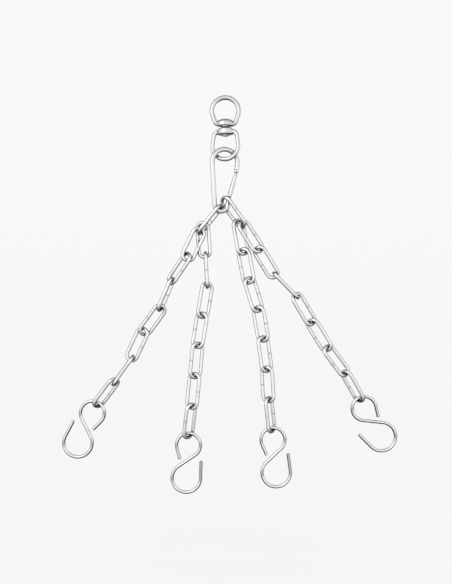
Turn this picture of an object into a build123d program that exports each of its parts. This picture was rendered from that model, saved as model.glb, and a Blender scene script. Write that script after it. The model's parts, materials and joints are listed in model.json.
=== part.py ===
from build123d import *
import os
from math import sin, cos, tan, radians, degrees, atan2, hypot, acos, pi

# Four leg chain set for hanging: an eye-and-eye swivel, a pear-shaped spring snap hook,
# two top links that carry two legs each, and four legs of seven long links with an
# S-hook on each end.
#
# Frame: millimetres, +Z up. The origin is the centre of the swivel's upper eye, the
# place the whole set hangs from. The legs are spread in the XZ plane, front to -Y.
# Bend and loop radii are to the centreline of the wire.

os.makedirs("parts", exist_ok=True)


def save(part, name):
    """Label a piece and write its STEP file."""
    part.label = name
    export_step(part, f"parts/{name}.step")


def upright_plane(turn):
    """Upright plane through the origin, turned about Z from the front view (degrees).

    Its x runs level, its y is +Z and its normal points to the front.
    """
    angle = radians(turn)
    return Plane(
        origin=(0, 0, 0),
        x_dir=(cos(angle), sin(angle), 0),
        z_dir=(sin(angle), -cos(angle), 0),
    )


def on(plane, x, y):
    """Point of a plane given by its own coordinates."""
    return plane.from_local_coords(Vector(x, y, 0))


# ---------------------------------------------------------------- chain links
# long-link chain, nominal 4 x 32
LINK_WIRE = 3.9        # wire diameter as plated
BEND_R = 6.2           # end bend (outside width 16.3)
HALF_STRAIGHT = 12.15  # half the straight side (inside length 32.8)
WELD_PROUD = 0.13      # the butt weld half way down one side stands proud
WELD_LEN = 1.2

# name, centre x, y, z, lean of the long axis in the XZ plane from straight down
# (+ to the right), tilt out of that plane (+ to the back), roll about the long axis
# (degrees), side of the weld
LINKS = [
    ("top_link_left", -16.27, -2.60, -116.14, -38.59, -3.67, -75.46, 1),
    ("top_link_right", 8.38, -0.06, -108.03, 35.37, -1.67, 50.99, 1),
    ("leg_outer_left_link_1", -33.96, -2.14, -142.58, -25.58, 1.50, -3.80, 1),
    ("leg_outer_left_link_2", -49.10, -0.05, -167.77, -34.23, 6.14, 47.80, 1),
    ("leg_outer_left_link_3", -63.30, -1.19, -195.49, -23.19, -3.15, -76.75, 1),
    ("leg_outer_left_link_4", -77.61, -0.01, -223.03, -36.19, 2.28, -28.54, -1),
    ("leg_outer_left_link_5", -94.15, 0.77, -249.09, -25.12, -0.23, 20.11, 1),
    ("leg_outer_left_link_6", -109.14, -0.43, -276.61, -35.79, 1.84, 85.23, -1),
    ("leg_outer_left_link_7", -127.27, 0.54, -300.62, -37.15, 4.60, -49.04, 1),
    ("leg_inner_left_link_1", -23.19, 0.90, -137.51, 4.21, 2.56, 14.31, -1),
    ("leg_inner_left_link_2", -20.26, 0.60, -169.70, 3.26, -0.15, 87.34, 1),
    ("leg_inner_left_link_3", -21.69, 0.73, -201.89, -9.51, 0.50, -30.90, 1),
    ("leg_inner_left_link_4", -27.22, 0.38, -233.83, -9.24, -1.75, 28.54, -1),
    ("leg_inner_left_link_5", -30.81, -0.48, -266.01, -5.29, -0.70, -32.64, -1),
    ("leg_inner_left_link_6", -34.15, -1.12, -298.34, -5.59, -1.49, 28.88, 1),
    ("leg_inner_left_link_7", -38.01, 0.13, -330.64, -7.08, 6.24, -46.12, -1),
    ("leg_inner_right_link_1", 16.38, 1.53, -134.37, 10.15, -0.18, -28.91, 1),
    ("leg_inner_right_link_2", 22.28, 1.41, -165.29, 10.88, -0.35, 22.51, -1),
    ("leg_inner_right_link_3", 30.16, 0.44, -195.78, 16.79, -2.59, -28.22, 1),
    ("leg_inner_right_link_4", 37.75, -0.56, -227.10, 9.75, -0.05, 29.84, 1),
    ("leg_inner_right_link_5", 42.15, -0.40, -259.27, 7.72, 0.37, -31.36, 1),
    ("leg_inner_right_link_6", 45.14, -0.36, -291.60, 3.34, 0.46, 29.18, -1),
    ("leg_inner_right_link_7", 47.86, 0.76, -324.11, 6.27, 4.83, -54.57, 1),
    ("leg_outer_right_link_1", 27.13, -1.33, -134.16, 32.84, 0.03, -28.07, 1),
    ("leg_outer_right_link_2", 43.64, -0.46, -161.56, 31.80, 3.25, 27.48, -1),
    ("leg_outer_right_link_3", 64.46, -0.84, -186.07, 44.24, -0.91, 92.74, -1),
    ("leg_outer_right_link_4", 83.91, -0.21, -211.36, 31.16, 4.33, -28.61, 1),
    ("leg_outer_right_link_5", 100.54, 0.38, -239.18, 31.49, -2.37, 31.57, -1),
    ("leg_outer_right_link_6", 118.45, 0.09, -266.32, 36.91, 2.14, -30.85, -1),
    ("leg_outer_right_link_7", 136.23, 1.04, -293.66, 29.54, 2.99, 54.76, -1),
]


def link_axes(lean, tilt, roll):
    """Unit vectors along a link and across it, from one side to the other."""
    lean, tilt, roll = radians(lean), radians(tilt), radians(roll)
    along = Vector(sin(lean) * cos(tilt), sin(tilt), -cos(lean) * cos(tilt))
    level = Vector(cos(lean), 0, sin(lean))
    out = along.cross(level).normalized()
    return along, level * cos(roll) + out * sin(roll)


def make_link(name, x, y, z, lean, tilt, roll, weld_side):
    along, across = link_axes(lean, tilt, roll)
    centre = Vector(x, y, z)
    mid_section = Plane(origin=centre, x_dir=across, z_dir=along)
    with BuildPart() as link:
        # two straight sides
        with BuildSketch(mid_section):
            with Locations((BEND_R, 0), (-BEND_R, 0)):
                Circle(LINK_WIRE / 2)
        extrude(amount=HALF_STRAIGHT, both=True)
        # a half-turn bend joins them at each end
        for end in (1, -1):
            bend_centre = centre + along * (end * HALF_STRAIGHT)
            with BuildSketch(Plane(origin=bend_centre, x_dir=across, z_dir=along)):
                with Locations((BEND_R, 0)):
                    Circle(LINK_WIRE / 2)
            turn = across.cross(along) * end
            revolve(axis=Axis(bend_centre, turn), revolution_arc=180)
        # butt weld
        with BuildSketch(mid_section):
            with Locations((weld_side * BEND_R, 0)):
                Circle(LINK_WIRE / 2 + WELD_PROUD)
        extrude(amount=WELD_LEN / 2, both=True)
    save(link.part, name)


for link_row in LINKS:
    make_link(*link_row)

# ---------------------------------------------------------------- swivel
EYE_R = 14.3           # upper eye
UPPER_WIRE = 5.0
UPPER_BAR_Z = -13.76   # base bar of the upper bow
HUB_DEPTH = 13.6       # forged boss, front to back
HUB_STRETCH = 1.38     # boss width over its depth
HUB_TOP_Z = -8.7
HUB_BOTTOM_Z = -16.3

WASHER_D = 10.4
WASHER_T = 1.0
WASHER_CHAMFER = 0.15

SWIVEL_TURN = -15.0    # lower bow about Z, from the upper bow
LOWER_WIRE = 4.5
LOWER_R = 14.2         # lower bow
LOWER_CENTRE_Z = -37.3
LOWER_HUB_DEPTH = 12.8
LOWER_HUB_STRETCH = 1.42
LOWER_HUB_TOP_Z = -18.9
LOWER_HUB_BOTTOM_Z = -25.5
LOWER_BAR_Z = (LOWER_HUB_TOP_Z + LOWER_HUB_BOTTOM_Z) / 2

RIVET_D = 5.0
RIVET_RUN = 0.08       # radial running clearance in the lower hub
RIVET_HEAD_D = 8.4
RIVET_HEAD_H = 1.8
RIVET_HEAD_GAP = 0.06  # under the lower hub
RIVET_HEAD_RIM = 0.5   # height of the head's straight rim
RIVET_HEAD_FLAT_R = 1.2

front = upright_plane(0)


def make_boss(depth, stretch, top_z, bottom_z, flat_r, mid_r, mid_drop, shoulder_drop, foot):
    """Round dome about Z, stretched along X.

    The crown's arc runs from flat_r on the top through mid_r, mid_drop below the top,
    to the side wall shoulder_drop below it. The foot is chamfered.
    """
    boss_r = depth / 2
    with BuildPart() as dome:
        with BuildSketch(front):
            with BuildLine():
                Polyline((0, bottom_z), (0, top_z), (flat_r, top_z))
                ThreePointArc(
                    (flat_r, top_z), (mid_r, top_z - mid_drop), (boss_r, top_z - shoulder_drop)
                )
                Polyline(
                    (boss_r, top_z - shoulder_drop),
                    (boss_r, bottom_z + foot),
                    (boss_r - foot, bottom_z),
                    (0, bottom_z),
                )
            make_face()
        revolve(axis=Axis.Z)
    return scale(dome.part, by=(stretch, 1, 1))


def make_bow(name, plane, seam_dir, wire, radius, centre_z, leave, bar_z, corner_r,
             boss, boss_top_z, boss_bottom_z, hole_r):
    """Closed bow in an upright plane, with a boss on its bar and a hole down the boss.

    The arc ends at the angle leave (degrees) past level. From there each side runs
    straight towards the bar and turns into it round a corner. seam_dir is the x
    direction of the wire's section.
    """
    def mirror(point):
        return (-point[0], point[1])

    toward_bar = -1 if bar_z < centre_z else 1
    angle = radians(leave)
    # right-hand side: end of the arc, then the corner's end on the side and on the bar
    arc_end = (radius * cos(angle), centre_z + toward_bar * radius * sin(angle))
    side = (-sin(angle), toward_bar * cos(angle))
    run = (bar_z - arc_end[1]) / side[1]
    corner_x = arc_end[0] + side[0] * run
    cut = corner_r * tan(radians(90 - leave) / 2)
    on_side = (corner_x - side[0] * cut, bar_z - side[1] * cut)
    on_bar = (corner_x - cut, bar_z)

    with BuildPart() as bow:
        with BuildLine(plane) as path:
            Line((0, bar_z), on_bar)
            TangentArc(on_bar, on_side, tangent=(1, 0))
            Line(on_side, arc_end)
            CenterArc((0, centre_z), radius, toward_bar * leave, -toward_bar * (180 + 2 * leave))
            Line(mirror(arc_end), mirror(on_side))
            TangentArc(mirror(on_side), mirror(on_bar), tangent=mirror(side))
            Line(mirror(on_bar), (0, bar_z))
        with BuildSketch(Plane(origin=on(plane, 0, bar_z), x_dir=seam_dir, z_dir=plane.x_dir)):
            Circle(wire / 2)
        sweep(path=path.wires()[0])
        add(boss)
        # hole for the rivet, cut from 1 mm below the boss to 1 mm above it
        with BuildSketch(Plane.XY.offset(boss_bottom_z - 1)):
            Circle(hole_r)
        extrude(amount=boss_top_z - boss_bottom_z + 2, mode=Mode.SUBTRACT)
    save(bow.part, name)


def make_rivet():
    """Rivet peened over in the upper hub, with a domed head under the lower hub."""
    shank_r = RIVET_D / 2
    head_r = RIVET_HEAD_D / 2
    head_top = LOWER_HUB_BOTTOM_Z - RIVET_HEAD_GAP
    head_bottom = head_top - RIVET_HEAD_H
    with BuildPart() as rivet:
        with BuildSketch(front):
            with BuildLine():
                Polyline(
                    (0, head_bottom),
                    # peened end
                    (0, HUB_TOP_Z + 0.35),
                    (shank_r - 0.9, HUB_TOP_Z + 0.3),
                    (shank_r, HUB_TOP_Z - 0.2),
                    # shank, then the rim of the head
                    (shank_r, head_top),
                    (head_r, head_top),
                    (head_r, head_top - RIVET_HEAD_RIM),
                )
                ThreePointArc(
                    (head_r, head_top - RIVET_HEAD_RIM),
                    (head_r * 0.72, head_top - RIVET_HEAD_H * 0.78),
                    (RIVET_HEAD_FLAT_R, head_bottom),
                )
                Line((RIVET_HEAD_FLAT_R, head_bottom), (0, head_bottom))
            make_face()
        revolve(axis=Axis.Z)
    save(rivet.part, "swivel_rivet")


def make_washer():
    """Washer on the rivet, against the underside of the upper hub."""
    with BuildPart() as washer:
        with BuildSketch(Plane.XY.offset(HUB_BOTTOM_Z - WASHER_T)):
            Circle(WASHER_D / 2)
            Circle(RIVET_D / 2, mode=Mode.SUBTRACT)
        extrude(amount=WASHER_T)
        outer = washer.edges().filter_by(GeomType.CIRCLE).filter_by(
            lambda e: abs(e.radius - WASHER_D / 2) < 0.01
        )
        chamfer(outer, WASHER_CHAMFER)
    save(washer.part, "swivel_washer")


make_bow(
    "swivel_upper_bow", plane=front, seam_dir=(0, 1, 0), wire=UPPER_WIRE,
    radius=EYE_R, centre_z=0.0, leave=20.0, bar_z=UPPER_BAR_Z, corner_r=4.0,
    boss=make_boss(
        HUB_DEPTH, HUB_STRETCH, HUB_TOP_Z, HUB_BOTTOM_Z,
        flat_r=2.2, mid_r=4.75, mid_drop=1.05, shoulder_drop=4.0, foot=0.5,
    ),
    boss_top_z=HUB_TOP_Z, boss_bottom_z=HUB_BOTTOM_Z, hole_r=RIVET_D / 2,
)
make_bow(
    "swivel_lower_bow", plane=upright_plane(SWIVEL_TURN), seam_dir=(0, 0, 1), wire=LOWER_WIRE,
    radius=LOWER_R, centre_z=LOWER_CENTRE_Z, leave=9.0, bar_z=LOWER_BAR_Z, corner_r=5.0,
    boss=make_boss(
        LOWER_HUB_DEPTH, LOWER_HUB_STRETCH, LOWER_HUB_TOP_Z, LOWER_HUB_BOTTOM_Z,
        flat_r=LOWER_HUB_DEPTH / 2 - 1.5, mid_r=LOWER_HUB_DEPTH / 2 - 0.44,
        mid_drop=0.44, shoulder_drop=1.5, foot=1.0,
    ).rotate(Axis.Z, SWIVEL_TURN),
    boss_top_z=LOWER_HUB_TOP_Z, boss_bottom_z=LOWER_HUB_BOTTOM_Z,
    hole_r=RIVET_D / 2 + RIVET_RUN,
)
make_rivet()
make_washer()

# ---------------------------------------------------------------- snap hook
# points of the hook are (across, up) in its own upright plane
HOOK_TURN = 15.0       # plane of the hook about Z
HOOK_WIRE = 5.2
HOOK_TOP = (-0.3, -54.8)     # centre of the wide bend
HOOK_TOP_R = 13.9
HOOK_END = (-4.53, -99.84)   # centre of the narrow bend
HOOK_END_R = 7.2
PIVOT = (4.75, -90.45)
LATCH = (11.26, -67.9)

# flats on both ends of the body, which run in slots across both ends of the gate
TONGUE = 2.1           # thickness of the flats
SHOULDER_PIVOT = 3.1   # full wire stops this far from the pivot
SHOULDER_LATCH = 3.0
FLAT_OVERLAP = 1.0     # the flats reach this far into the full wire
PIVOT_FLAT_R = 2.2
NOSE_W = 3.9
NOSE_ROOT_PAST = 0.5   # the nose's root runs this far past the latch
NOSE_TIP_LEN = 3.2
NOSE_TIP_PAST = 0.9    # middle of the tip past the latch
NOTCH_DEPTH = 4.0
NOTCH_RISE = 0.03      # middle of the notch above the latch pin
SAW_AT = (11.2, -62.1)  # middle of the saw cut on the nose
SAW_W = 0.7
SAW_LEN = 3.0
SAW_LEAN = 36
SAW_DEEP = 1.45        # floor of the cut from the mid plane

GATE_R_PIVOT = 2.6
GATE_R_LATCH = 2.15
GATE_PAST_LATCH = 2.4
GATE_CHAMFER = 0.4
GATE_TAPER_START = 7.0  # from the pivot
GATE_TAPER_END = 6.5    # from the gate's end
SLOT = 2.4
SLOT_LEN = 6.8         # centred on each pin
BORE_D = 2.5
BORE_START = 2.0       # from the pivot
BORE_LEN = 14.2

PIVOT_D = 2.0
LATCH_PIN_D = 1.6
PIN_FIT = 0.01         # radial clearance of the pins in the gate

# plunger and spring in the gate's bore, placed from the pivot
PLUNGER_D = 2.2
PLUNGER_START = 2.26
PLUNGER_CONE_END = 2.9
PLUNGER_END = 5.6
PLUNGER_NOSE_R = 0.5
SPRING_R = 0.92
SPRING_WIRE = 0.4
SPRING_PITCH = 1.1
SPRING_LEN = 9.9
SPRING_START = PLUNGER_END + SPRING_WIRE / 2 + 0.05

hook_plane = upright_plane(HOOK_TURN)
hook_normal = hook_plane.z_dir


def contact_angle(centre, target, radius_step, side):
    """Angle (degrees) at which a tangent to target touches the bend about centre.

    radius_step is the bend's radius less the target's, which is 0 for a point.
    """
    x, y = target[0] - centre[0], target[1] - centre[1]
    return degrees(atan2(y, x)) + side * degrees(acos(radius_step / hypot(x, y)))


def polar(centre, radius, angle):
    return (centre[0] + radius * cos(radians(angle)), centre[1] + radius * sin(radians(angle)))


def unit(start, end):
    x, y = end[0] - start[0], end[1] - start[1]
    length = hypot(x, y)
    return (x / length, y / length)


def short_of(point, direction, gap):
    """Point that lies gap before the given one on a line."""
    return (point[0] - direction[0] * gap, point[1] - direction[1] * gap)


def hook_vector(direction):
    """Direction in the hook's plane as a vector in space."""
    return hook_plane.x_dir * direction[0] + hook_plane.y_dir * direction[1]


def flat_plane(point, direction):
    """Plane on a flat: y axis along direction, z axis the hook's normal."""
    x_dir = hook_vector(direction).cross(hook_normal)
    return Plane(origin=on(hook_plane, *point), x_dir=x_dir, z_dir=hook_normal)


# gate frame: x across the gate (outwards), y up along it, z the hook's normal
gate_len = hypot(LATCH[0] - PIVOT[0], LATCH[1] - PIVOT[1])
gate_dir = unit(PIVOT, LATCH)
gate_up = hook_vector(gate_dir)
gate_out = hook_vector((gate_dir[1], -gate_dir[0]))
pivot_point = on(hook_plane, *PIVOT)
gate_plane = Plane(origin=pivot_point, x_dir=gate_out, z_dir=hook_normal)
gate_axis = Axis(pivot_point, gate_up)


def make_hook_body():
    # the left side is the outer tangent of both bends
    left_angle = contact_angle(HOOK_END, HOOK_TOP, HOOK_END_R - HOOK_TOP_R, 1)
    pivot_angle = contact_angle(HOOK_END, PIVOT, HOOK_END_R, -1)
    latch_angle = contact_angle(HOOK_TOP, LATCH, HOOK_TOP_R, 1)
    bend_pivot = polar(HOOK_END, HOOK_END_R, pivot_angle)
    bend_left = polar(HOOK_END, HOOK_END_R, left_angle)
    top_left = polar(HOOK_TOP, HOOK_TOP_R, left_angle)
    top_latch = polar(HOOK_TOP, HOOK_TOP_R, latch_angle)
    pivot_dir = unit(bend_pivot, PIVOT)
    latch_dir = unit(top_latch, LATCH)
    pivot_shoulder = short_of(PIVOT, pivot_dir, SHOULDER_PIVOT)
    latch_shoulder = short_of(LATCH, latch_dir, SHOULDER_LATCH)
    pivot_flat = flat_plane(PIVOT, pivot_dir)
    latch_flat = flat_plane(LATCH, (-latch_dir[0], -latch_dir[1]))
    wire_start = Plane(
        origin=on(hook_plane, *pivot_shoulder), x_dir=hook_normal, z_dir=hook_vector(pivot_dir)
    )
    pivot_flat_len = SHOULDER_PIVOT + FLAT_OVERLAP
    nose_root_end = SHOULDER_LATCH + FLAT_OVERLAP

    with BuildPart() as body:
        with BuildLine(hook_plane) as path:
            Line(pivot_shoulder, bend_pivot)
            CenterArc(HOOK_END, HOOK_END_R, pivot_angle, left_angle - pivot_angle - 360)
            Line(bend_left, top_left)
            CenterArc(HOOK_TOP, HOOK_TOP_R, left_angle, latch_angle - left_angle)
            Line(top_latch, latch_shoulder)
        with BuildSketch(wire_start):
            Circle(HOOK_WIRE / 2)
        sweep(path=path.wires()[0])
        # flat for the gate's pivot
        with BuildSketch(pivot_flat):
            Circle(PIVOT_FLAT_R)
            with Locations((0, -pivot_flat_len / 2)):
                Rectangle(2 * PIVOT_FLAT_R, pivot_flat_len)
        extrude(amount=TONGUE / 2, both=True)
        with BuildSketch(pivot_flat):
            Circle(PIVOT_D / 2 + 0.05)
        extrude(amount=3, both=True, mode=Mode.SUBTRACT)
        # nose: a flat with a notch that opens inwards
        with BuildSketch(latch_flat):
            with Locations((0, (nose_root_end - NOSE_ROOT_PAST) / 2)):
                Rectangle(NOSE_W, nose_root_end + NOSE_ROOT_PAST)
            with Locations((0, -NOSE_TIP_PAST)):
                Rectangle(NOSE_W, NOSE_TIP_LEN)
        extrude(amount=TONGUE / 2, both=True)
        with BuildSketch(gate_plane):
            with Locations((0, gate_len)):
                Circle(LATCH_PIN_D / 2 + 0.15)
            with Locations((-NOTCH_DEPTH / 2, gate_len + NOTCH_RISE)):
                Rectangle(NOTCH_DEPTH, LATCH_PIN_D + 0.4)
        extrude(amount=TONGUE, both=True, mode=Mode.SUBTRACT)
        # slanted saw cut in each face of the nose shoulder
        for face in (1, -1):
            with BuildSketch(hook_plane.offset(face * SAW_DEEP)):
                with Locations(SAW_AT):
                    Rectangle(SAW_W, SAW_LEN, rotation=SAW_LEAN)
            extrude(amount=face * 3, mode=Mode.SUBTRACT)
    save(body.part, "snap_hook_body")


def make_gate():
    gate_end = gate_len + GATE_PAST_LATCH
    bore_start = Plane(origin=pivot_point + gate_up * BORE_START, x_dir=gate_out, z_dir=gate_up)
    with BuildPart() as gate:
        with BuildSketch(gate_plane):
            with BuildLine():
                Polyline(
                    (0, -GATE_R_PIVOT),
                    (0, gate_end),
                    (GATE_R_LATCH - GATE_CHAMFER, gate_end),
                    (GATE_R_LATCH, gate_end - GATE_CHAMFER),
                    (GATE_R_LATCH, gate_end - GATE_TAPER_END),
                    (GATE_R_PIVOT, GATE_TAPER_START),
                    (GATE_R_PIVOT, 0),
                )
                CenterArc((0, 0), GATE_R_PIVOT, 0, -90)
            make_face()
        revolve(axis=gate_axis)
        # slots across both ends, wider than the gate
        with BuildSketch(gate_plane):
            with Locations((0, 0), (0, gate_len)):
                Rectangle(8, SLOT_LEN)
        extrude(amount=SLOT / 2, both=True, mode=Mode.SUBTRACT)
        # bore for the spring, from the pivot slot
        with BuildSketch(bore_start):
            Circle(BORE_D / 2)
        extrude(amount=BORE_LEN, mode=Mode.SUBTRACT)
        # cross holes
        with BuildSketch(gate_plane):
            Circle(PIVOT_D / 2 + PIN_FIT)
            with Locations((0, gate_len)):
                Circle(LATCH_PIN_D / 2 + PIN_FIT)
        extrude(amount=4, both=True, mode=Mode.SUBTRACT)
    save(gate.part, "snap_hook_gate")


def make_pin(name, height, diameter, half_len, end_fillet):
    """Pin across the gate, height up it from the pivot."""
    with BuildPart() as pin:
        with BuildSketch(
            Plane(origin=pivot_point + gate_up * height, x_dir=gate_out, z_dir=hook_normal)
        ):
            Circle(diameter / 2)
        extrude(amount=half_len, both=True)
        fillet(pin.edges().filter_by(GeomType.CIRCLE), end_fillet)
    save(pin.part, name)


def make_plunger():
    with BuildPart() as plunger:
        with BuildSketch(gate_plane):
            with BuildLine():
                Polyline(
                    (0, PLUNGER_START),
                    (0, PLUNGER_END),
                    (PLUNGER_D / 2, PLUNGER_END),
                    (PLUNGER_D / 2, PLUNGER_CONE_END),
                    (PLUNGER_NOSE_R, PLUNGER_START),
                    (0, PLUNGER_START),
                )
            make_face()
        revolve(axis=gate_axis)
    save(plunger.part, "snap_hook_plunger")


def make_spring():
    start = pivot_point + gate_up * SPRING_START
    with BuildPart() as spring:
        with BuildLine() as coil:
            Helix(
                pitch=SPRING_PITCH, height=SPRING_LEN, radius=SPRING_R,
                center=start, direction=gate_up,
            )
        with BuildSketch(Plane(origin=coil.line @ 0, z_dir=coil.line % 0)):
            Circle(SPRING_WIRE / 2)
        sweep(path=coil.line, is_frenet=True)
    save(spring.part, "snap_hook_spring")


make_hook_body()
make_gate()
make_pin("snap_hook_gate_pivot", 0, PIVOT_D, half_len=GATE_R_PIVOT + 0.15, end_fillet=0.3)
make_pin(
    "snap_hook_latch_pin", gate_len, LATCH_PIN_D, half_len=GATE_R_LATCH + 0.1, end_fillet=0.25
)
make_plunger()
make_spring()

# ---------------------------------------------------------------- S-hooks
S_WIRE = 3.5
S_UPPER_R = 12.8       # closed loop
S_LOWER_R = 15.2       # open loop
S_CENTRES = 35.3       # between the loops' centres
S_TAIL = 12.2          # straight run of the closed loop's end
S_TAIL_LEAN = 18.6
S_TIP = 18.5           # straight run of the open loop's end
S_CHAMFER = 0.35
# angle at both centres between the line of centres and the crossing's ends
S_CROSS = degrees(acos((S_UPPER_R + S_LOWER_R) / S_CENTRES))

# name, centre of the closed loop x, y, z, lean (+ to the right), mirrored, lean of the tip
S_HOOKS = [
    ("s_hook_outer_left", -142.17, 2.00, -322.61, -26.0, False, 2.0),
    ("s_hook_inner_left", -39.37, 2.00, -356.84, -3.8, True, 2.0),
    ("s_hook_inner_right", 51.02, 2.00, -351.06, 5.6, True, 2.0),
    ("s_hook_outer_right", 148.47, 2.00, -317.69, 31.5, False, -13.5),
]


def make_s_hook(name, x, y, z, lean, mirrored, tip_lean):
    lean = radians(lean)
    hand = -1 if mirrored else 1
    # local x across the hook towards its closed loop's free end, local y back up it
    across = Vector(cos(lean), 0, sin(lean)) * hand
    up = Vector(-sin(lean), 0, cos(lean))
    plane = Plane(origin=(x, y, z), x_dir=across, z_dir=across.cross(up))

    cross = radians(S_CROSS)
    leave_upper = (-S_UPPER_R * sin(cross), -S_UPPER_R * cos(cross))
    join_lower = (S_LOWER_R * sin(cross), -S_CENTRES + S_LOWER_R * cos(cross))
    tail = radians(S_TAIL_LEAN)
    tail_start = (S_UPPER_R * cos(tail), -S_UPPER_R * sin(tail))
    tail_end = (tail_start[0] - S_TAIL * sin(tail), tail_start[1] - S_TAIL * cos(tail))
    tail_dir = across * sin(tail) + up * cos(tail)
    tip = radians(tip_lean)
    tip_start = (-S_LOWER_R * cos(tip), -S_CENTRES + S_LOWER_R * sin(tip))
    tip_end = (tip_start[0] + S_TIP * sin(tip), tip_start[1] + S_TIP * cos(tip))
    wire_ends = (on(plane, *tail_end), on(plane, *tip_end))

    with BuildPart() as s_hook:
        with BuildLine(plane) as path:
            Line(tail_end, tail_start)
            CenterArc((0, 0), S_UPPER_R, -S_TAIL_LEAN, 270 - S_CROSS + S_TAIL_LEAN)
            Line(leave_upper, join_lower)
            CenterArc((0, -S_CENTRES), S_LOWER_R, 90 - S_CROSS, -(270 - S_CROSS + tip_lean))
            Line(tip_start, tip_end)
        with BuildSketch(Plane(origin=wire_ends[0], x_dir=plane.z_dir, z_dir=tail_dir)):
            Circle(S_WIRE / 2)
        sweep(path=path.wires()[0])
        # full circles at the two cut ends of the wire
        circles = s_hook.edges().filter_by(GeomType.CIRCLE).filter_by(
            lambda e: e.length > 0.9 * pi * S_WIRE
        )
        rims = circles.filter_by(
            lambda e: min((e.arc_center - end).length for end in wire_ends) < 0.05
        )
        chamfer(rims, S_CHAMFER)
    save(s_hook.part, name)


for s_hook_row in S_HOOKS:
    make_s_hook(*s_hook_row)
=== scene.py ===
import json
import math
from types import SimpleNamespace

import bpy
import numpy as np
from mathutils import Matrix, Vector

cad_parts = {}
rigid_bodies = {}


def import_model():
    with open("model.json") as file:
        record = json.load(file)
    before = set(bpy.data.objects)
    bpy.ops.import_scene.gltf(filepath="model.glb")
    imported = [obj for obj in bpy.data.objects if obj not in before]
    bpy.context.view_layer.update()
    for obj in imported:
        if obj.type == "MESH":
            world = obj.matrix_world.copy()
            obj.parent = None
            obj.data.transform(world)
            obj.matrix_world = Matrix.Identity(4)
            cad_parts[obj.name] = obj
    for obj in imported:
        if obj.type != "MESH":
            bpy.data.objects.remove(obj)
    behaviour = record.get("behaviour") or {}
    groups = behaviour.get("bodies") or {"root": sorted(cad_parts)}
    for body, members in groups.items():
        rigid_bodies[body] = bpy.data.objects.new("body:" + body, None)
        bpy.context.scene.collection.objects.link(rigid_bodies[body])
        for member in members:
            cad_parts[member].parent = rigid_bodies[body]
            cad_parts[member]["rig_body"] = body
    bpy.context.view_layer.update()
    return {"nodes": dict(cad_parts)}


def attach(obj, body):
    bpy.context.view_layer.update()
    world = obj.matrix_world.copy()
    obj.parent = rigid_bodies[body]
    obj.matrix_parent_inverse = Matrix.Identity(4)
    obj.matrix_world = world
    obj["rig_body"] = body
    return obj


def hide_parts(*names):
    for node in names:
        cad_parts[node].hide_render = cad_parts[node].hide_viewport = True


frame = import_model()
NODES = frame["nodes"]
MM = 0.001

scene = bpy.context.scene

# ------------------------------------------------------------------ sizes
AROUND = 36        # vertices round a wire

# chain link
LINK_STEP = 0.45  # ring spacing along the wire
WIRE_R = 1.95
BEND_R = 6.2                        # centreline radius of the link's ends
HALF_STRAIGHT = 12.15               # half of each straight side
HALF_LOOP = math.pi * BEND_R + 2 * HALF_STRAIGHT
WELD_PROUD = 0.12

# S-hook
S_STEP = 0.5
S_WIRE_R = 3.5 / 2
S_UPPER_R = 12.8
S_LOWER_R = 15.2
S_CENTRES = 35.3                    # distance between the centres of the two bends
S_TAIL = 12.2                       # straight end of the upper bend
S_TIP = 18.5                        # straight end of the lower bend
TAIL_LEAN = 18.6                    # degrees
EDGE_RINGS = [0.0, 0.06, 0.14, 0.24, 0.35]  # ring distances from a cut end
EDGE_ROLL = EDGE_RINGS[-1]          # depth of the rolled edge
PINCH_AT = 9.0                      # pinch marks, distance from each end

# Link rows: centre x, y, z; lean, tilt, roll in degrees; side of the weld (+1 or -1 across).
TOP_LINKS = [
    ("top_link_left", -16.27, -2.60, -116.14, -38.59, -3.67, -75.46, 1),
    ("top_link_right", 8.38, -0.06, -108.03, 35.37, -1.67, 50.99, 1),
]
LEG_LINKS = {
    "leg_outer_left": [
        (-33.96, -2.14, -142.58, -25.58, 1.50, -3.80, 1),
        (-49.10, -0.05, -167.77, -34.23, 6.14, 47.80, 1),
        (-63.30, -1.19, -195.49, -23.19, -3.15, -76.75, 1),
        (-77.61, -0.01, -223.03, -36.19, 2.28, -28.54, -1),
        (-94.15, 0.77, -249.09, -25.12, -0.23, 20.11, 1),
        (-109.14, -0.43, -276.61, -35.79, 1.84, 85.23, -1),
        (-127.27, 0.54, -300.62, -37.15, 4.60, -49.04, 1),
    ],
    "leg_inner_left": [
        (-23.19, 0.90, -137.51, 4.21, 2.56, 14.31, -1),
        (-20.26, 0.60, -169.70, 3.26, -0.15, 87.34, 1),
        (-21.69, 0.73, -201.89, -9.51, 0.50, -30.90, 1),
        (-27.22, 0.38, -233.83, -9.24, -1.75, 28.54, -1),
        (-30.81, -0.48, -266.01, -5.29, -0.70, -32.64, -1),
        (-34.15, -1.12, -298.34, -5.59, -1.49, 28.88, 1),
        (-38.01, 0.13, -330.64, -7.08, 6.24, -46.12, -1),
    ],
    "leg_inner_right": [
        (16.38, 1.53, -134.37, 10.15, -0.18, -28.91, 1),
        (22.28, 1.41, -165.29, 10.88, -0.35, 22.51, -1),
        (30.16, 0.44, -195.78, 16.79, -2.59, -28.22, 1),
        (37.75, -0.56, -227.10, 9.75, -0.05, 29.84, 1),
        (42.15, -0.40, -259.27, 7.72, 0.37, -31.36, 1),
        (45.14, -0.36, -291.60, 3.34, 0.46, 29.18, -1),
        (47.86, 0.76, -324.11, 6.27, 4.83, -54.57, 1),
    ],
    "leg_outer_right": [
        (27.13, -1.33, -134.16, 32.84, 0.03, -28.07, 1),
        (43.64, -0.46, -161.56, 31.80, 3.25, 27.48, -1),
        (64.46, -0.84, -186.07, 44.24, -0.91, 92.74, -1),
        (83.91, -0.21, -211.36, 31.16, 4.33, -28.61, 1),
        (100.54, 0.38, -239.18, 31.49, -2.37, 31.57, -1),
        (118.45, 0.09, -266.32, 36.91, 2.14, -30.85, -1),
        (136.23, 1.04, -293.66, 29.54, 2.99, 54.76, -1),
    ],
}
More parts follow.
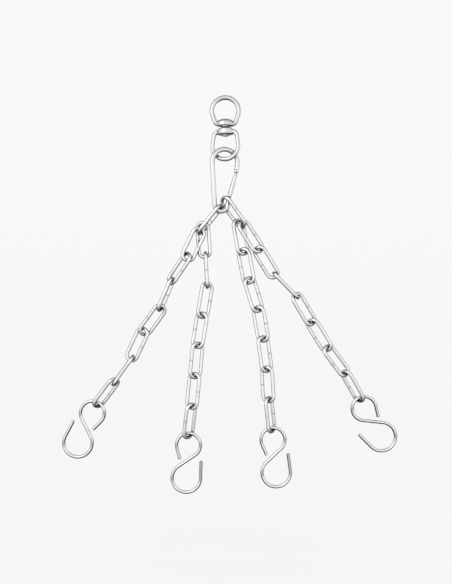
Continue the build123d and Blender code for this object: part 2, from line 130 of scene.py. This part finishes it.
LINKS = TOP_LINKS + [
    (f"{leg}_link_{number}", *row)
    for leg, rows in LEG_LINKS.items()
    for number, row in enumerate(rows, 1)
]

# name; centre of the upper bend x, y, z; lean in degrees; mirrored; lean of the tip in degrees
S_HOOKS = [
    ("s_hook_outer_left", -142.17, 2.00, -322.61, -26.0, False, 2.0),
    ("s_hook_inner_left", -39.37, 2.00, -356.84, -3.8, True, 2.0),
    ("s_hook_inner_right", 51.02, 2.00, -351.06, 5.6, True, 2.0),
    ("s_hook_outer_right", 148.47, 2.00, -317.69, 31.5, False, -13.5),
]


# ------------------------------------------------------------------ mesh helpers
def dress(obj, node):
    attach(obj, NODES[node]["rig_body"])
    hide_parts(node)


def coat(mesh, material):
    """Give a mesh one material and smooth shading."""
    mesh.materials.clear()
    mesh.materials.append(material)
    mesh.polygons.foreach_set("use_smooth", [True] * len(mesh.polygons))


def make_object(node, verts, faces, attributes, material):
    name = "vis_" + node
    mesh = bpy.data.meshes.new(name)
    mesh.from_pydata([tuple(v) for v in verts], [], faces)
    mesh.update()
    for key, values in attributes.items():
        attribute = mesh.attributes.new(key, "FLOAT", "POINT")
        attribute.data.foreach_set("value", np.asarray(values, np.float32))
    coat(mesh, material)
    obj = bpy.data.objects.new(name, mesh)
    scene.collection.objects.link(obj)
    dress(obj, node)


def hash01(*keys):
    """Repeatable number in 0..1 from integers."""
    h = 2166136261
    for key in keys:
        h = ((h ^ (int(key) & 0xFFFFFFFF)) * 16777619) & 0xFFFFFFFF
        h ^= h >> 13
    return (h % 100003) / 100003.0


def sweep(centres, normal, radius_at, closed):
    """Wire along a planar centreline in mm, with radius_at(ring, angle) in mm.

    Angle 0 points along normal x tangent. Returns the vertices in metres, the faces,
    the angle of each vertex and the tangent of each ring.
    """
    count = len(centres)
    if closed:
        tangents = np.roll(centres, -1, 0) - np.roll(centres, 1, 0)
    else:
        tangents = np.gradient(centres, axis=0)
    tangents /= np.linalg.norm(tangents, axis=1)[:, None]
    sides = np.cross(normal, tangents)
    angles = np.arange(AROUND) / AROUND * 2 * math.pi
    radii = np.array([[radius_at(i, a) for a in angles] for i in range(count)])
    spokes = (np.cos(angles)[None, :, None] * sides[:, None, :]
              + np.sin(angles)[None, :, None] * normal[None, None, :])
    verts = (centres[:, None, :] + radii[:, :, None] * spokes).reshape(-1, 3) * MM
    faces = []
    for i in range(count if closed else count - 1):
        here = i * AROUND
        there = (i + 1) % count * AROUND
        for k in range(AROUND):
            l = (k + 1) % AROUND
            faces.append((here + k, here + l, there + l, there + k))
    return verts, faces, np.tile(angles, count), tangents


def per_vertex(ring_values):
    return np.repeat(ring_values, AROUND, axis=0)


# ------------------------------------------------------------------ shader graph helper
class Graph:
    """Adds nodes to the cleared node tree of a material or world."""

    def __init__(self, owner):
        owner.use_nodes = True
        self.tree = owner.node_tree
        self.tree.nodes.clear()

    def node(self, kind, **props):
        node = self.tree.nodes.new(kind)
        for key, value in props.items():
            setattr(node, key, value)
        return node

    def feed(self, socket, value):
        """Link an output, or set a number or an RGB colour."""
        if hasattr(value, "is_output"):
            self.tree.links.new(value, socket)
        else:
            socket.default_value = (*value, 1.0) if isinstance(value, tuple) else value

    def math(self, operation, a, b=0.0, clamp=False):
        node = self.node("ShaderNodeMath", operation=operation, use_clamp=clamp)
        self.feed(node.inputs[0], a)
        self.feed(node.inputs[1], b)
        return node.outputs[0]

    def add(self, a, b):
        return self.math("ADD", a, b)

    def sub(self, a, b):
        return self.math("SUBTRACT", a, b)

    def mul(self, a, b):
        return self.math("MULTIPLY", a, b)

    def ramp(self, value, over, to=(0.0, 1.0), smooth=False):
        """Map the range `over` onto the range `to`."""
        kind = "SMOOTHSTEP" if smooth else "LINEAR"
        node = self.node("ShaderNodeMapRange", interpolation_type=kind)
        self.feed(node.inputs["Value"], value)
        for key, limit in zip(("From Min", "From Max", "To Min", "To Max"), (*over, *to)):
            node.inputs[key].default_value = limit
        return node.outputs[0]

    def curve(self, value, pairs):
        node = self.node("ShaderNodeFloatCurve")
        self.feed(node.inputs["Value"], value)
        points = node.mapping.curves[0].points
        points[0].location = pairs[0]
        points[1].location = pairs[-1]
        for x, y in pairs[1:-1]:
            points.new(x, y)
        for point in points:
            point.handle_type = "VECTOR"
        node.mapping.update()
        return node.outputs[0]

    def mix(self, a, b, factor, mode="MIX"):
        node = self.node("ShaderNodeMix", data_type="RGBA", blend_type=mode)
        self.feed(node.inputs[0], factor)
        self.feed(node.inputs[6], a)
        self.feed(node.inputs[7], b)
        return node.outputs[2]

    def noise(self, vector, scale, detail, rough):
        node = self.node("ShaderNodeTexNoise")
        self.feed(node.inputs["Vector"], vector)
        node.inputs["Scale"].default_value = scale
        node.inputs["Detail"].default_value = detail
        node.inputs["Roughness"].default_value = rough
        return node.outputs["Fac"]

    def attribute(self, name):
        return self.node("ShaderNodeAttribute", attribute_name=name).outputs["Fac"]

    def coords(self, kind):
        return self.node("ShaderNodeTexCoord").outputs[kind]

    def combine(self, x, y, z):
        node = self.node("ShaderNodeCombineXYZ")
        for socket, value in zip(node.inputs, (x, y, z)):
            self.feed(socket, value)
        return node.outputs[0]

    def grey(self, value):
        return self.combine(value, value, value)

    def separate(self, vector):
        node = self.node("ShaderNodeSeparateXYZ")
        self.feed(node.inputs[0], vector)
        return node.outputs

    def in_camera(self, vector, kind, space):
        """x, y, z of a vector turned into camera space."""
        node = self.node("ShaderNodeVectorTransform", vector_type=kind,
                         convert_from=space, convert_to="CAMERA")
        self.feed(node.inputs[0], vector)
        return self.separate(node.outputs[0])

    def occlusion(self, samples, distance):
        node = self.node("ShaderNodeAmbientOcclusion")
        node.samples = samples
        node.inputs["Distance"].default_value = distance
        return node.outputs["AO"]

    def bump(self, height, strength, distance, normal=None):
        node = self.node("ShaderNodeBump")
        node.inputs["Strength"].default_value = strength
        node.inputs["Distance"].default_value = distance
        self.feed(node.inputs["Height"], height)
        if normal:
            self.feed(node.inputs["Normal"], normal)
        return node.outputs[0]

    def shader(self, kind, colour):
        node = self.node(kind)
        self.feed(node.inputs[0], colour)
        return node.outputs[0]

    def finish(self, kind, shader):
        self.feed(self.node(kind).inputs[0], shader)


# ------------------------------------------------------------------ zinc plate
# painted shade: brightness of the base colour against how squarely the surface faces the viewer
LIMB = [(0.0, 0.16), (0.45, 0.22), (0.60, 0.36), (0.72, 0.70), (0.82, 0.95), (0.90, 1.0),
        (1.0, 1.0)]
LIMB_FORGED = [(0.0, 0.26), (0.30, 0.34), (0.55, 0.50), (0.75, 0.76), (0.92, 0.97), (1.0, 1.0)]
LIMB_TURNED = [(0.0, 0.24), (0.30, 0.32), (0.50, 0.46), (0.70, 0.76), (0.85, 0.96), (1.0, 1.0)]

BROAD_FADE = (0.9, 0.905, 0.92)     # factors on the base colour in broad patches
MOTTLE_GREY = (0.62, 0.63, 0.645)
STREAK_GREY = (0.56, 0.565, 0.58)
PIT_BROWN = (0.30, 0.295, 0.29)
WELD_GREY = (0.58, 0.575, 0.56)
SEAM_DARK = (0.20, 0.195, 0.19)
CROWN_GREY = (0.47, 0.47, 0.475)
EDGE_BRIGHT = (0.95, 0.95, 0.955)
# painted shade colour for concave hollows
HOLLOW_SHADE = (0.25, 0.245, 0.24)


def plate_fields(g, swept):
    """Noises, mesh attributes and geometry that the parts of the plate share."""
    place = g.coords("Object")
    random = g.node("ShaderNodeObjectInfo").outputs["Random"]
    geometry = g.node("ShaderNodeNewGeometry")
    shift = g.node("ShaderNodeVectorMath", operation="ADD")     # each object gets its own patch
    g.feed(shift.inputs[0], place)
    g.feed(shift.inputs[1], g.combine(g.mul(random, 3.1), g.mul(random, 1.7), 0.0))
    pos = shift.outputs[0]
    f = SimpleNamespace(
        place=place,
        pos=pos,
        normal=geometry.outputs["Normal"],
        pointiness=geometry.outputs["Pointiness"],
        broad=g.noise(pos, scale=95.0, detail=3.0, rough=0.6),
        mottle=g.noise(pos, scale=420.0, detail=5.0, rough=0.62),
        fine=g.noise(pos, scale=2600.0, detail=4.0, rough=0.7),
    )
    pits = g.noise(pos, scale=1100.0, detail=2.0, rough=0.5)
    f.pits = g.ramp(pits, over=(0.67, 0.76), smooth=True)
    if swept:
        along = g.attribute("along")
        turn = g.attribute("turn")
        f.weld = g.attribute("weld")
        f.crown = g.attribute("crown")
        f.seam = g.attribute("seam")
        # wrapped round the wire and stretched along it
        sine = g.mul(g.math("SINE", turn), 1.0)
        cosine = g.math("COSINE", turn)
        run = g.add(g.mul(along, 0.09), g.mul(random, 50.0))
        wrapped = g.combine(g.mul(sine, 5.2), g.mul(cosine, 5.2), run)
        f.streak = g.noise(wrapped, scale=2.3, detail=5.0, rough=0.7)
    else:
        f.streak = g.noise(pos, scale=900.0, detail=4.0, rough=0.7)
    return f


def plate_colour(g, f, base, lines, swept):
    """Duller blotches and streaks, brown-grey pits and welds, bright edges, painted shade in
    hollows.
    """
    faded = tuple(channel * fade for channel, fade in zip(base, BROAD_FADE))
    colour = g.mix(base, faded, g.ramp(f.broad, over=(0.35, 0.7)))
    mottle = g.ramp(f.mottle, over=(0.52, 0.72), to=(0.0, 0.42), smooth=True)
    colour = g.mix(colour, MOTTLE_GREY, mottle)
    streak = g.ramp(f.streak, over=(0.55, 0.75), to=(0.0, 0.30 * lines + 0.08), smooth=True)
    colour = g.mix(colour, STREAK_GREY, streak)
    colour = g.mix(colour, PIT_BROWN, g.mul(f.pits, 0.5))
    if swept:
        patchy = g.ramp(f.mottle, over=(0.3, 0.7), to=(0.15, 0.45))
        colour = g.mix(colour, WELD_GREY, g.mul(f.weld, patchy))
        colour = g.mix(colour, SEAM_DARK, g.mul(f.seam, 0.42))
        worn = g.mul(f.crown, g.ramp(f.mottle, over=(0.42, 0.6), smooth=True))
        colour = g.mix(colour, CROWN_GREY, g.mul(worn, 0.45))
    wear = g.ramp(f.pointiness, over=(0.53, 0.59), smooth=True)
    # painted shade: darker in concave hollows
    hollow_shade = g.ramp(f.pointiness, over=(0.40, 0.46), to=(1.0, 0.0), smooth=True)
    patchy = g.ramp(f.mottle, over=(0.35, 0.6), to=(0.2, 0.8), smooth=False)
    colour = g.mix(colour, EDGE_BRIGHT, g.mul(wear, patchy))
    return g.mix(colour, HOLLOW_SHADE, g.mul(hollow_shade, 0.55))


def plate_shading(g, f, limb, under, sway, upright_shade, bands):
    """Painted shade and reflections in the base colour: darkening by view angle, in crevices, on
    the underside, and the painted reflections of the room.
    """
    weight = g.node("ShaderNodeLayerWeight")
    weight.inputs["Blend"].default_value = 0.5
    facing = g.sub(1.0, weight.outputs["Facing"])
    # painted shade: the base colour darkens as the surface turns away from the viewer
    rim = g.sub(g.curve(facing, limb), 0.0)
    # painted shade in crevices and between parts, from ambient occlusion
    crevice = g.ramp(g.occlusion(samples=8, distance=0.004), over=(0.30, 0.86), to=(0.27, 1.0))
    shading = g.mul(rim, crevice)

    # painted shade on the underside, standing in for the reflection of the dark skirt below the
    # table's edge
    level, width, darkest = under
    normal_x, normal_y, _ = g.in_camera(f.normal, "NORMAL", "WORLD")
    upward = g.sub(g.mul(normal_y, math.cos(sway)), g.mul(normal_x, math.sin(sway)))
    low = g.ramp(upward, over=(level - width, level + width), to=(darkest, 1.0), smooth=True)
    shading = g.mul(shading, low)

    if upright_shade:
        # painted reflection of the dark sides of the room: the wire's colour is darker where it
        # stands upright
        run = g.combine(*(g.attribute("run_" + axis) for axis in "xyz"))
        sideways = g.math("ABSOLUTE", g.in_camera(run, "VECTOR", "OBJECT")[0])
        upright = g.ramp(sideways, over=(0.0, 0.5), to=(0.5, 1.0), smooth=True)
        shading = g.mul(shading, upright)
    if bands:
        # painted reflections: slanting darker bands along a turned bar
        x, _, z = g.separate(f.place)
        wave = g.math("SINE", g.add(g.mul(x, 1500.0), g.mul(z, 420.0)))
        band = g.ramp(wave, over=(0.1, 0.9), to=(1.0, 1.0 - bands), smooth=True)
        shading = g.mul(shading, band)
    return shading


def plate_roughness(g, f, rough, swept):
    total = g.add(rough, g.ramp(f.mottle, over=(0.3, 0.75), to=(0.0, 0.16)))
    total = g.add(total, g.ramp(f.streak, over=(0.4, 0.8), to=(0.0, 0.12)))
    if swept:
        total = g.add(total, g.mul(f.weld, 0.22))
    return g.math("ADD", total, g.mul(f.pits, 0.2), clamp=True)


def plate_normal(g, f, lines, swept):
    """Fine relief everywhere, and a coarser one on the welds."""
    height = g.add(g.mul(f.fine, 0.5), g.mul(f.mottle, 1.1))
    height = g.add(height, g.mul(f.streak, 1.2 * lines))
    height = g.sub(height, g.mul(f.pits, 0.9))
    normal = g.bump(height, strength=0.28, distance=0.00006)
    if swept:
        crust = g.mul(f.weld, g.noise(f.pos, scale=1500.0, detail=3.0, rough=0.6))
        normal = g.bump(crust, strength=0.8, distance=0.00022, normal=normal)
    return normal


def plated(name, base, rough, lines, swept=False, limb=LIMB, under=(-0.5, 0.16, 0.4),
           sway=0.0, upright_shade=False, bands=0.0):
    """Bright zinc plate over steel.

    lines: strength of the streaks. swept: the mesh carries the wire attributes.
    under: level, half width and darkest value of the painted shade below, on the upward part
    of the normal. sway: turn of that painted shade in the view, radians. upright_shade:
    painted shade where the wire stands upright; the mesh carries run_x, run_y, run_z.
    bands: depth of the painted slanting reflections.
    """
    material = bpy.data.materials.new(name)
    g = Graph(material)
    f = plate_fields(g, swept)
    colour = plate_colour(g, f, base, lines, swept)
    shading = plate_shading(g, f, limb, under, sway, upright_shade, bands)
    bsdf = g.node("ShaderNodeBsdfPrincipled")
    bsdf.inputs["Metallic"].default_value = 1.0
    shaded = g.mix(colour, g.grey(shading), 1.0, "MULTIPLY")
    g.feed(bsdf.inputs["Base Color"], shaded)
    g.feed(bsdf.inputs["Roughness"], plate_roughness(g, f, rough, swept))
    g.feed(bsdf.inputs["Normal"], plate_normal(g, f, lines, swept))
    g.finish("ShaderNodeOutputMaterial", bsdf.outputs[0])
    return material


def s_hook_plate(name, sway):
    return plated(name, base=(0.98, 0.98, 0.98), rough=0.11, lines=0.8, swept=True,
                  under=(-0.20, 0.13, 0.05), sway=sway, upright_shade=True)


CHAIN = plated("zinc_chain", base=(0.98, 0.98, 0.98), rough=0.14, lines=0.5, swept=True)
# left and right copies of one plate, with their painted underside shade turned opposite ways
S_HOOK_LEFT = s_hook_plate("zinc_s_hook_left", sway=0.25)
S_HOOK_RIGHT = s_hook_plate("zinc_s_hook_right", sway=-0.25)
BOW = plated("zinc_forged", base=(0.83, 0.83, 0.835), rough=0.20, lines=0.2,
             limb=LIMB_FORGED, under=(-0.70, 0.12, 0.06))
RIVET = plated("zinc_rivet", base=(0.96, 0.96, 0.96), rough=0.22, lines=0.2,
               limb=LIMB_TURNED, under=(-0.6, 0.2, 0.85))
HOOK = plated("zinc_hook", base=(0.90, 0.90, 0.90), rough=0.17, lines=0.3,
              limb=LIMB_TURNED, under=(-0.6, 0.16, 0.42))
GATE = plated("zinc_gate", base=(0.88, 0.88, 0.885), rough=0.20, lines=0.3,
              limb=LIMB_TURNED, under=(-0.6, 0.2, 0.6), bands=0.16)
SPRING = plated("spring_wire", base=(0.42, 0.42, 0.425), rough=0.28, lines=0.2)


# ------------------------------------------------------------------ chain links
def link_axes(lean, tilt, roll):
    """Unit vectors along the link and across its loop."""
    lean, tilt, roll = (math.radians(angle) for angle in (lean, tilt, roll))
    along = np.array([math.sin(lean) * math.cos(tilt), math.sin(tilt),
                      -math.cos(lean) * math.cos(tilt)])
    level = np.array([math.cos(lean), 0.0, math.sin(lean)])
    out = np.cross(along, level)
    out /= np.linalg.norm(out)
    return along, level * math.cos(roll) + out * math.sin(roll)


def link_path():
    """Rows of across, along and arc length, from the middle of the welded side (+across)."""
    total = 2 * HALF_LOOP
    count = int(round(total / LINK_STEP))
    rows = []
    for i in range(count):
        s = i / count * total
        half_s = s % HALF_LOOP
        if half_s < HALF_STRAIGHT:
            x, y = BEND_R, half_s
        elif half_s < HALF_STRAIGHT + math.pi * BEND_R:
            angle = (half_s - HALF_STRAIGHT) / BEND_R
            x, y = BEND_R * math.cos(angle), HALF_STRAIGHT + BEND_R * math.sin(angle)
        else:
            x, y = -BEND_R, HALF_LOOP - half_s
        turn = 1 if s < HALF_LOOP else -1       # the second half is the first turned by 180
        rows.append((turn * x, turn * y, s))
    return np.array(rows)


def build_link(index, name, x, y, z, lean, tilt, roll, weld_side):
    along, across = link_axes(lean, tilt, roll)
    side = across * weld_side
    path = link_path()
    centres = np.array([x, y, z]) + path[:, :1] * side + path[:, 1:2] * along
    s = path[:, 2]
    from_weld = np.minimum(s, 2 * HALF_LOOP - s)
    bead = np.exp(-((from_weld / 0.80) ** 4))
    # a groove in the middle of the bead and a shallower one at each edge
    seam = np.exp(-((from_weld / 0.24) ** 2)) + np.exp(-(((from_weld - 0.95) / 0.18) ** 2)) * 0.8
    from_crown = np.abs(s % HALF_LOOP - HALF_LOOP / 2)      # crown: middle of either bend
    crown = np.exp(-((from_crown / 4.2) ** 2))
    bend = np.clip(1 - from_crown / (math.pi * BEND_R / 2), 0, 1)
    lump = 0.75 + 0.5 * hash01(index, 7)
    phase = 6.28 * hash01(index, 11)

    def radius_at(i, angle):
        inner = max(0.0, -math.cos(angle))
        outer = max(0.0, math.cos(angle))
        uneven = lump * (0.75 + 0.25 * math.sin(2 * angle + phase)) / 1.25
        return (
            WIRE_R
            - 0.07 * crown[i] * inner ** 3      # contact flat inside the end
            - 0.05 * bend[i] * outer ** 2       # wire thins over the outside of the bend
            + WELD_PROUD * bead[i] * uneven
            - 0.07 * seam[i]
        )

    # with this normal, angle 0 of the sweep points out of the loop
    verts, faces, turn, _ = sweep(centres, np.cross(along, side), radius_at, closed=True)
    attributes = {"along": per_vertex(s), "turn": turn, "weld": per_vertex(bead),
                  "seam": per_vertex(seam), "crown": per_vertex(crown)}
    make_object(name, verts, faces, attributes, CHAIN)


for index, row in enumerate(LINKS):
    build_link(index, *row)


# ------------------------------------------------------------------ S-hooks
def s_hook_path(tip_lean):
    """Centreline (across, up) from the tail to the tip, about the upper bend's centre."""
    cross_angle = math.acos((S_UPPER_R + S_LOWER_R) / S_CENTRES)
    cross_degrees = math.degrees(cross_angle)
    cross = np.array([math.sin(cross_angle), math.cos(cross_angle)])
    tail = math.radians(TAIL_LEAN)
    tip = math.radians(tip_lean)
    lower_centre = np.array([0, -S_CENTRES])
    tail_start = S_UPPER_R * np.array([math.cos(tail), -math.sin(tail)])
    tail_end = tail_start - S_TAIL * np.array([math.sin(tail), math.cos(tail)])
    tip_start = lower_centre + S_LOWER_R * np.array([-math.cos(tip), math.sin(tip)])
    tip_end = tip_start + S_TIP * np.array([math.sin(tip), math.cos(tip)])
    points = []

    def line(start, end):
        count = max(2, int(np.linalg.norm(end - start) / S_STEP))
        points.extend(start + (end - start) * k / count for k in range(count))

    def arc(centre, radius, start, end):
        count = max(4, int(abs(math.radians(end - start)) * radius / S_STEP))
        for k in range(count):
            angle = math.radians(start + (end - start) * k / count)
            points.append(centre + radius * np.array([math.cos(angle), math.sin(angle)]))

    line(tail_end, tail_start)
    arc(np.zeros(2), S_UPPER_R, -TAIL_LEAN, 270 - cross_degrees)
    line(-S_UPPER_R * cross, lower_centre + S_LOWER_R * cross)
    arc(lower_centre, S_LOWER_R, 90 - cross_degrees, -180 - tip_lean)
    line(tip_start, tip_end)
    points.append(tip_end)
    return np.array(points)


def arc_lengths(path):
    return np.concatenate([[0], np.cumsum(np.linalg.norm(np.diff(path, axis=0), axis=1))])


def with_end_rings(path):
    """Close rings at both ends, so that the edges of the shear cuts roll over."""
    s = arc_lengths(path)
    first = (path[1] - path[0]) / np.linalg.norm(path[1] - path[0])
    last = (path[-1] - path[-2]) / np.linalg.norm(path[-1] - path[-2])
    head = [path[0] + first * e for e in EDGE_RINGS]
    foot = [path[-1] - last * e for e in reversed(EDGE_RINGS)]
    body = [point for point, at in zip(path, s) if 0.5 < at < s[-1] - 0.5]
    return np.array(head + body + foot)


def build_s_hook(index, name, x, y, z, lean, mirrored, tip_lean):
    lean = math.radians(lean)
    hand = -1 if mirrored else 1
    across = np.array([math.cos(lean), 0, math.sin(lean)]) * hand
    up = np.array([-math.sin(lean), 0, math.cos(lean)])
    path = with_end_rings(s_hook_path(tip_lean))
    s = arc_lengths(path)
    total = s[-1]
    centres = np.array([x, y, z]) + path[:, :1] * across + path[:, 1:2] * up

    def radius_at(i, angle):
        from_end = min(s[i], total - s[i])
        radius = S_WIRE_R - 0.02 - 0.02 * hash01(index, i // 9)
        if from_end < EDGE_ROLL:
            radius -= 0.35 * (1 - from_end / EDGE_ROLL) ** 2
        # pinch marks on one side of the wire near the ends
        from_pinch = min(abs(s[i] - PINCH_AT), abs(total - s[i] - PINCH_AT))
        return radius - 0.05 * math.exp(-(from_pinch ** 2)) * max(0.0, math.cos(angle)) ** 2

    verts, faces, turn, tangents = sweep(centres, np.cross(across, up), radius_at, closed=False)
    # each end is closed by a fan about one centre vertex
    head = len(verts)
    foot = head + 1
    last_ring = head - AROUND
    verts = np.vstack([verts, centres[0] * MM, centres[-1] * MM])
    for k in range(AROUND):
        l = (k + 1) % AROUND
        faces.append((head, l, k))
        faces.append((foot, last_ring + k, last_ring + l))
    along = np.append(per_vertex(s), [0, total])
    cut = np.exp(-((np.minimum(along, total - along) / 0.3) ** 2))
    run = np.vstack([per_vertex(tangents), tangents[:1], tangents[-1:]])
    attributes = {"along": along, "turn": np.append(turn, [0, 0]), "weld": cut * 0.9,
                  "seam": np.zeros(len(verts)), "crown": cut,
                  "run_x": run[:, 0], "run_y": run[:, 1], "run_z": run[:, 2]}
    make_object(name, verts, faces, attributes, S_HOOK_LEFT if x < 0 else S_HOOK_RIGHT)


for index, row in enumerate(S_HOOKS):
    build_s_hook(index, *row)


# ------------------------------------------------------------------ forged and turned pieces
# node, material, voxel size in mm, smoothing passes
SOFTENED = [
    ("swivel_upper_bow", BOW, 0.2, 36),
    ("swivel_lower_bow", BOW, 0.2, 36),
    ("snap_hook_body", HOOK, 0.2, 24),
    ("snap_hook_gate", GATE, 0.12, 44),
    ("swivel_rivet", RIVET, 0.12, 3),
    ("swivel_washer", RIVET, 0.12, 2),
    ("snap_hook_gate_pivot", RIVET, 0.07, 2),
    ("snap_hook_latch_pin", RIVET, 0.07, 2),
]
# pieces that keep their own mesh
RECOATED = [("snap_hook_spring", SPRING), ("snap_hook_plunger", GATE)]


def soften(node, material, voxel, passes):
    """Copy of a solid with its corners rolled the way forging and plating leave them."""
    solid = bpy.data.objects.new("tmp_" + node, NODES[node].data.copy())
    scene.collection.objects.link(solid)
    remesh = solid.modifiers.new("r", "REMESH")
    remesh.mode = "VOXEL"
    remesh.voxel_size = voxel * 1.0 * MM
    remesh.use_smooth_shade = True
    smooth = solid.modifiers.new("s", "SMOOTH")
    smooth.factor = 0.5
    smooth.iterations = passes
    depsgraph = bpy.context.evaluated_depsgraph_get()
    mesh = bpy.data.meshes.new_from_object(solid.evaluated_get(depsgraph))
    bpy.data.objects.remove(solid)
    coat(mesh, material)
    obj = bpy.data.objects.new("vis_" + node, mesh)
    scene.collection.objects.link(obj)
    dress(obj, node)


for row in SOFTENED:
    soften(*row)
for node, material in RECOATED:
    coat(NODES[node].data, material)

# ------------------------------------------------------------------ stage (metres from here)
FLOOR_Z = -0.475
FLOOR_HALF = 6.0


def floor_material():
    """Pale self-lit floor with a painted shadow, darker where the hanger is close."""
    material = bpy.data.materials.new("pale_floor")
    g = Graph(material)
    grain = g.noise(g.coords("Object"), scale=6.0, detail=3.0, rough=0.5)
    # painted shadow of the hanger on the floor, from ambient occlusion, with a faint grain
    shadow_and_grain = g.ramp(g.occlusion(samples=12, distance=0.16), over=(0.2, 1.0), to=(0.70, 1.0))
    shadow_and_grain = g.mul(shadow_and_grain, g.ramp(grain, over=(0.3, 0.7), to=(0.992, 1.0)))
    lit = g.shader("ShaderNodeEmission", g.grey(g.mul(shadow_and_grain, 0.925)))
    g.finish("ShaderNodeOutputMaterial", lit)
    return material


def build_floor():
    corners = [(-1, -1), (1, -1), (1, 1), (-1, 1)]
    mesh = bpy.data.meshes.new("floor")
    verts = [(x * FLOOR_HALF, y * FLOOR_HALF, FLOOR_Z) for x, y in corners]
    mesh.from_pydata(verts, [], [(0, 1, 2, 3)])
    floor = bpy.data.objects.new("floor", mesh)
    scene.collection.objects.link(floor)
    mesh.materials.append(floor_material())
    floor.visible_glossy = False
    floor.visible_diffuse = False


build_floor()

# ------------------------------------------------------------------ light
# light tent: elevation in degrees, brightness
TENT = [(-90, 0.60), (-50, 0.58), (-33, 0.66), (-22, 0.80), (-12, 1.0), (-4, 1.10),
        (10, 1.10), (32, 0.88), (60, 0.78), (90, 0.78)]


def build_world():
    """A tent that lights the metal, and a plain pale backdrop for the camera."""
    world = bpy.data.worlds.new("studio")
    scene.world = world
    g = Graph(world)
    x, _, z = g.separate(g.coords("Generated"))
    stations = [(math.sin(math.radians(e)) * 0.5 + 0.5, v) for e, v in TENT]
    soft = g.curve(g.add(g.mul(z, 0.5), 0.5), stations)
    # the left side is a little brighter, and the seams leave narrow greyer bands
    soft = g.mul(soft, g.ramp(x, over=(-0.8, 0.8), to=(1.03, 0.93)))
    slant = g.add(x, g.mul(z, 0.7))
    fold = g.math("SINE", g.add(g.mul(slant, 9.0), 0.6))
    soft = g.mul(soft, g.ramp(fold, over=(0.55, 1.0), to=(1.0, 0.86), smooth=True))
    cool = g.combine(soft, g.mul(soft, 1.003), g.mul(soft, 1.012))
    light = g.shader("ShaderNodeBackground", cool)
    rise = g.ramp(z, over=(-0.42, 0.30), to=(0.915, 0.945))
    seen = g.shader("ShaderNodeBackground", g.grey(rise))
    mixer = g.node("ShaderNodeMixShader")
    g.feed(mixer.inputs[0], g.node("ShaderNodeLightPath").outputs["Is Camera Ray"])
    g.feed(mixer.inputs[1], light)
    g.feed(mixer.inputs[2], seen)
    g.finish("ShaderNodeOutputWorld", mixer.outputs[0])


def area_light(name, at, aim, size, power):
    """Square area light turned towards a point."""
    data = bpy.data.lights.new(name, "AREA")
    data.shape = "RECTANGLE"
    data.size = data.size_y = size
    data.energy = power
    lamp = bpy.data.objects.new(name, data)
    scene.collection.objects.link(lamp)
    lamp.location = at
    lamp.rotation_euler = (Vector(aim) - Vector(at)).to_track_quat("-Z", "Y").to_euler()


build_world()
area_light("key", at=(-0.55, -0.75, 0.35), aim=(0, 0, -0.2), size=0.5, power=1.1)
area_light("fill", at=(0.7, 0.7, 0.15), aim=(0, 0, -0.2), size=0.7, power=1.5)

scene.view_settings.view_transform = "Standard"
scene.view_settings.look = "None"
scene.view_settings.exposure = 0.0
scene.view_settings.gamma = 1.0


# ------------------------------------------------------------------ camera
def build_camera():
    """Level camera on the -Y side, looking along +Y."""
    lens = bpy.data.cameras.new("camera")
    lens.sensor_fit = "VERTICAL"
    lens.sensor_height = 24.0
    lens.lens = 26.969178
    lens.clip_start = 0.01
    lens.clip_end = 30.0
    camera = bpy.data.objects.new("camera", lens)
    scene.collection.objects.link(camera)
    camera.location = (0.000747, -0.700, -0.19307)
    camera.rotation_euler = (math.pi / 2, 0.0, 0.0)
    scene.camera = camera


build_camera()
